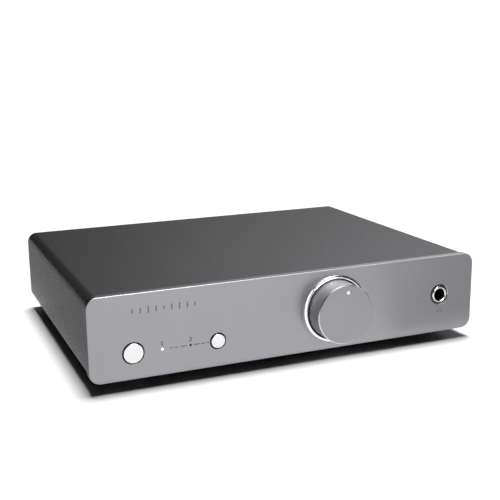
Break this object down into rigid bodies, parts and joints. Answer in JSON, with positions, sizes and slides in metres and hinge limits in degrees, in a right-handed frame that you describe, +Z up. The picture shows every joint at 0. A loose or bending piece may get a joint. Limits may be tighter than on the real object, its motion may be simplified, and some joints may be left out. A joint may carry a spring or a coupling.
{
  "type": "headphone amplifier",
  "caption": "Slim desktop record-player preamplifier and headphone amplifier, with a volume knob, push buttons and a headphone socket on the front and sockets on the back.",
  "frame": {"origin": "middle of the object's box in X and Y, at the underside of the feet", "axes": "+Z up, -Y out of the front panel, +X to the right of a person facing the front"},
  "size_m": [0.215, 0.1822, 0.048],
  "materials": {
    "anodised_silver": "satin anodised",
    "dark_case": "satin dark grey paint",
    "bright_trim": "polished",
    "rear_paint": "fine texture black paint",
    "zinc_plate": "zinc plated",
    "screw_steel": "blackened",
    "plain_steel": "machined",
    "black_plastic": "moulded",
    "foot_rubber": "matt",
    "light_lit": "clear, lit white",
    "light_dark": "smoked, unlit",
    "pointer_white": "white enamel",
    "board_green": "solder mask",
    "winding_yellow": "wrapped tape",
    "can_sleeve": "shrunk sleeve",
    "gold_plate": "gold plated",
    "cable_grey": "ribbon cable",
    "relay_case": "moulded"
  },
  "bodies": {
    "case": {"front_panel": "anodised_silver", "case_sleeve": "dark_case", "rear_panel": "rear_paint", "chassis_tray": "zinc_plate", "volume_pot": "zinc_plate", "balance_pot": "zinc_plate", "heat_sink": "zinc_plate", "phono_shield": "zinc_plate", "foot_front_left": "foot_rubber", "foot_front_right": "foot_rubber", "foot_rear_left": "foot_rubber", "foot_rear_right": "foot_rubber", "foot_screw_front_left": "screw_steel", "foot_screw_front_right": "screw_steel", "foot_screw_rear_left": "screw_steel", "foot_screw_rear_right": "screw_steel", "rear_screw_upper_left": "screw_steel", "rear_screw_upper_right": "screw_steel", "rear_screw_lower_left": "screw_steel", "rear_screw_lower_right": "screw_steel", "volume_pot_nut": "plain_steel", "inlet_pin_left": "plain_steel", "inlet_pin_right": "plain_steel", "volume_bezel": "bright_trim", "headphone_jack_ring": "bright_trim", "power_switch": "black_plastic", "select_switch": "black_plastic", "headphone_jack": "black_plastic", "mains_inlet": "black_plastic", "auto_off_switch": "black_plastic", "line_output_block": "black_plastic", "coil_input_block": "black_plastic", "magnet_input_block": "black_plastic", "input_light_1": "light_lit", "input_light_2": "light_dark", "control_board": "board_green", "main_board": "board_green", "ribbon_cable": "cable_grey", "supply_transformer": "winding_yellow", "bulk_capacitor": "can_sleeve", "filter_capacitor_left": "can_sleeve", "filter_capacitor_right": "can_sleeve", "output_relay": "relay_case", "ground_post": "gold_plate", "line_output_socket_a": "gold_plate", "line_output_socket_b": "gold_plate", "coil_input_socket_a": "gold_plate", "coil_input_socket_b": "gold_plate", "magnet_input_socket_a": "gold_plate", "magnet_input_socket_b": "gold_plate"},
    "volume": {"volume_knob": "anodised_silver", "volume_pointer": "pointer_white", "volume_shaft": "plain_steel"},
    "power_button": {"power_button": "bright_trim"},
    "select_button": {"select_button": "bright_trim"},
    "balance": {"balance_knob": "black_plastic", "balance_shaft": "plain_steel"},
    "auto_off": {"auto_off_slider": "black_plastic"},
    "ground_washer": {"ground_washer": "gold_plate"},
    "ground_nut": {"ground_nut": "gold_plate"}
  },
  "joints": [
    {"name": "volume_turn", "type": "hinge", "parent": "case", "child": "volume", "pos_m": [0.02235, -0.0795, 0.02675], "axis": [0, 1, 0], "range_deg": [-156.3, 143.7]},
    {"name": "power_press", "type": "slide", "parent": "case", "child": "power_button", "axis": [0, 1, 0], "range_m": [0, 0.0012], "stiffness_N_per_m": 400, "springref_m": -0.002},
    {"name": "select_press", "type": "slide", "parent": "case", "child": "select_button", "axis": [0, 1, 0], "range_m": [0, 0.0012], "stiffness_N_per_m": 400, "springref_m": -0.002},
    {"name": "balance_turn", "type": "hinge", "parent": "case", "child": "balance", "pos_m": [0.006, 0.0795, 0.02675], "axis": [0, -1, 0], "range_deg": [-140, 140]},
    {"name": "auto_off_slide", "type": "slide", "parent": "case", "child": "auto_off", "axis": [1, 0, 0], "range_m": [0, 0.0025]},
    {"name": "ground_washer_travel", "type": "slide", "parent": "case", "child": "ground_washer", "axis": [0, 1, 0], "range_m": [0, 0.0021]},
    {"name": "ground_nut_turn", "type": "hinge", "parent": "ground_washer", "child": "ground_nut", "pos_m": [0.06, 0.0795, 0.02675], "axis": [0, 1, 0], "range_deg": [0, 1080]}
  ],
  "couplings": [
    {"joint": "ground_nut_turn", "follows": "ground_washer_travel", "rad_per_m": 8976}
  ]
}
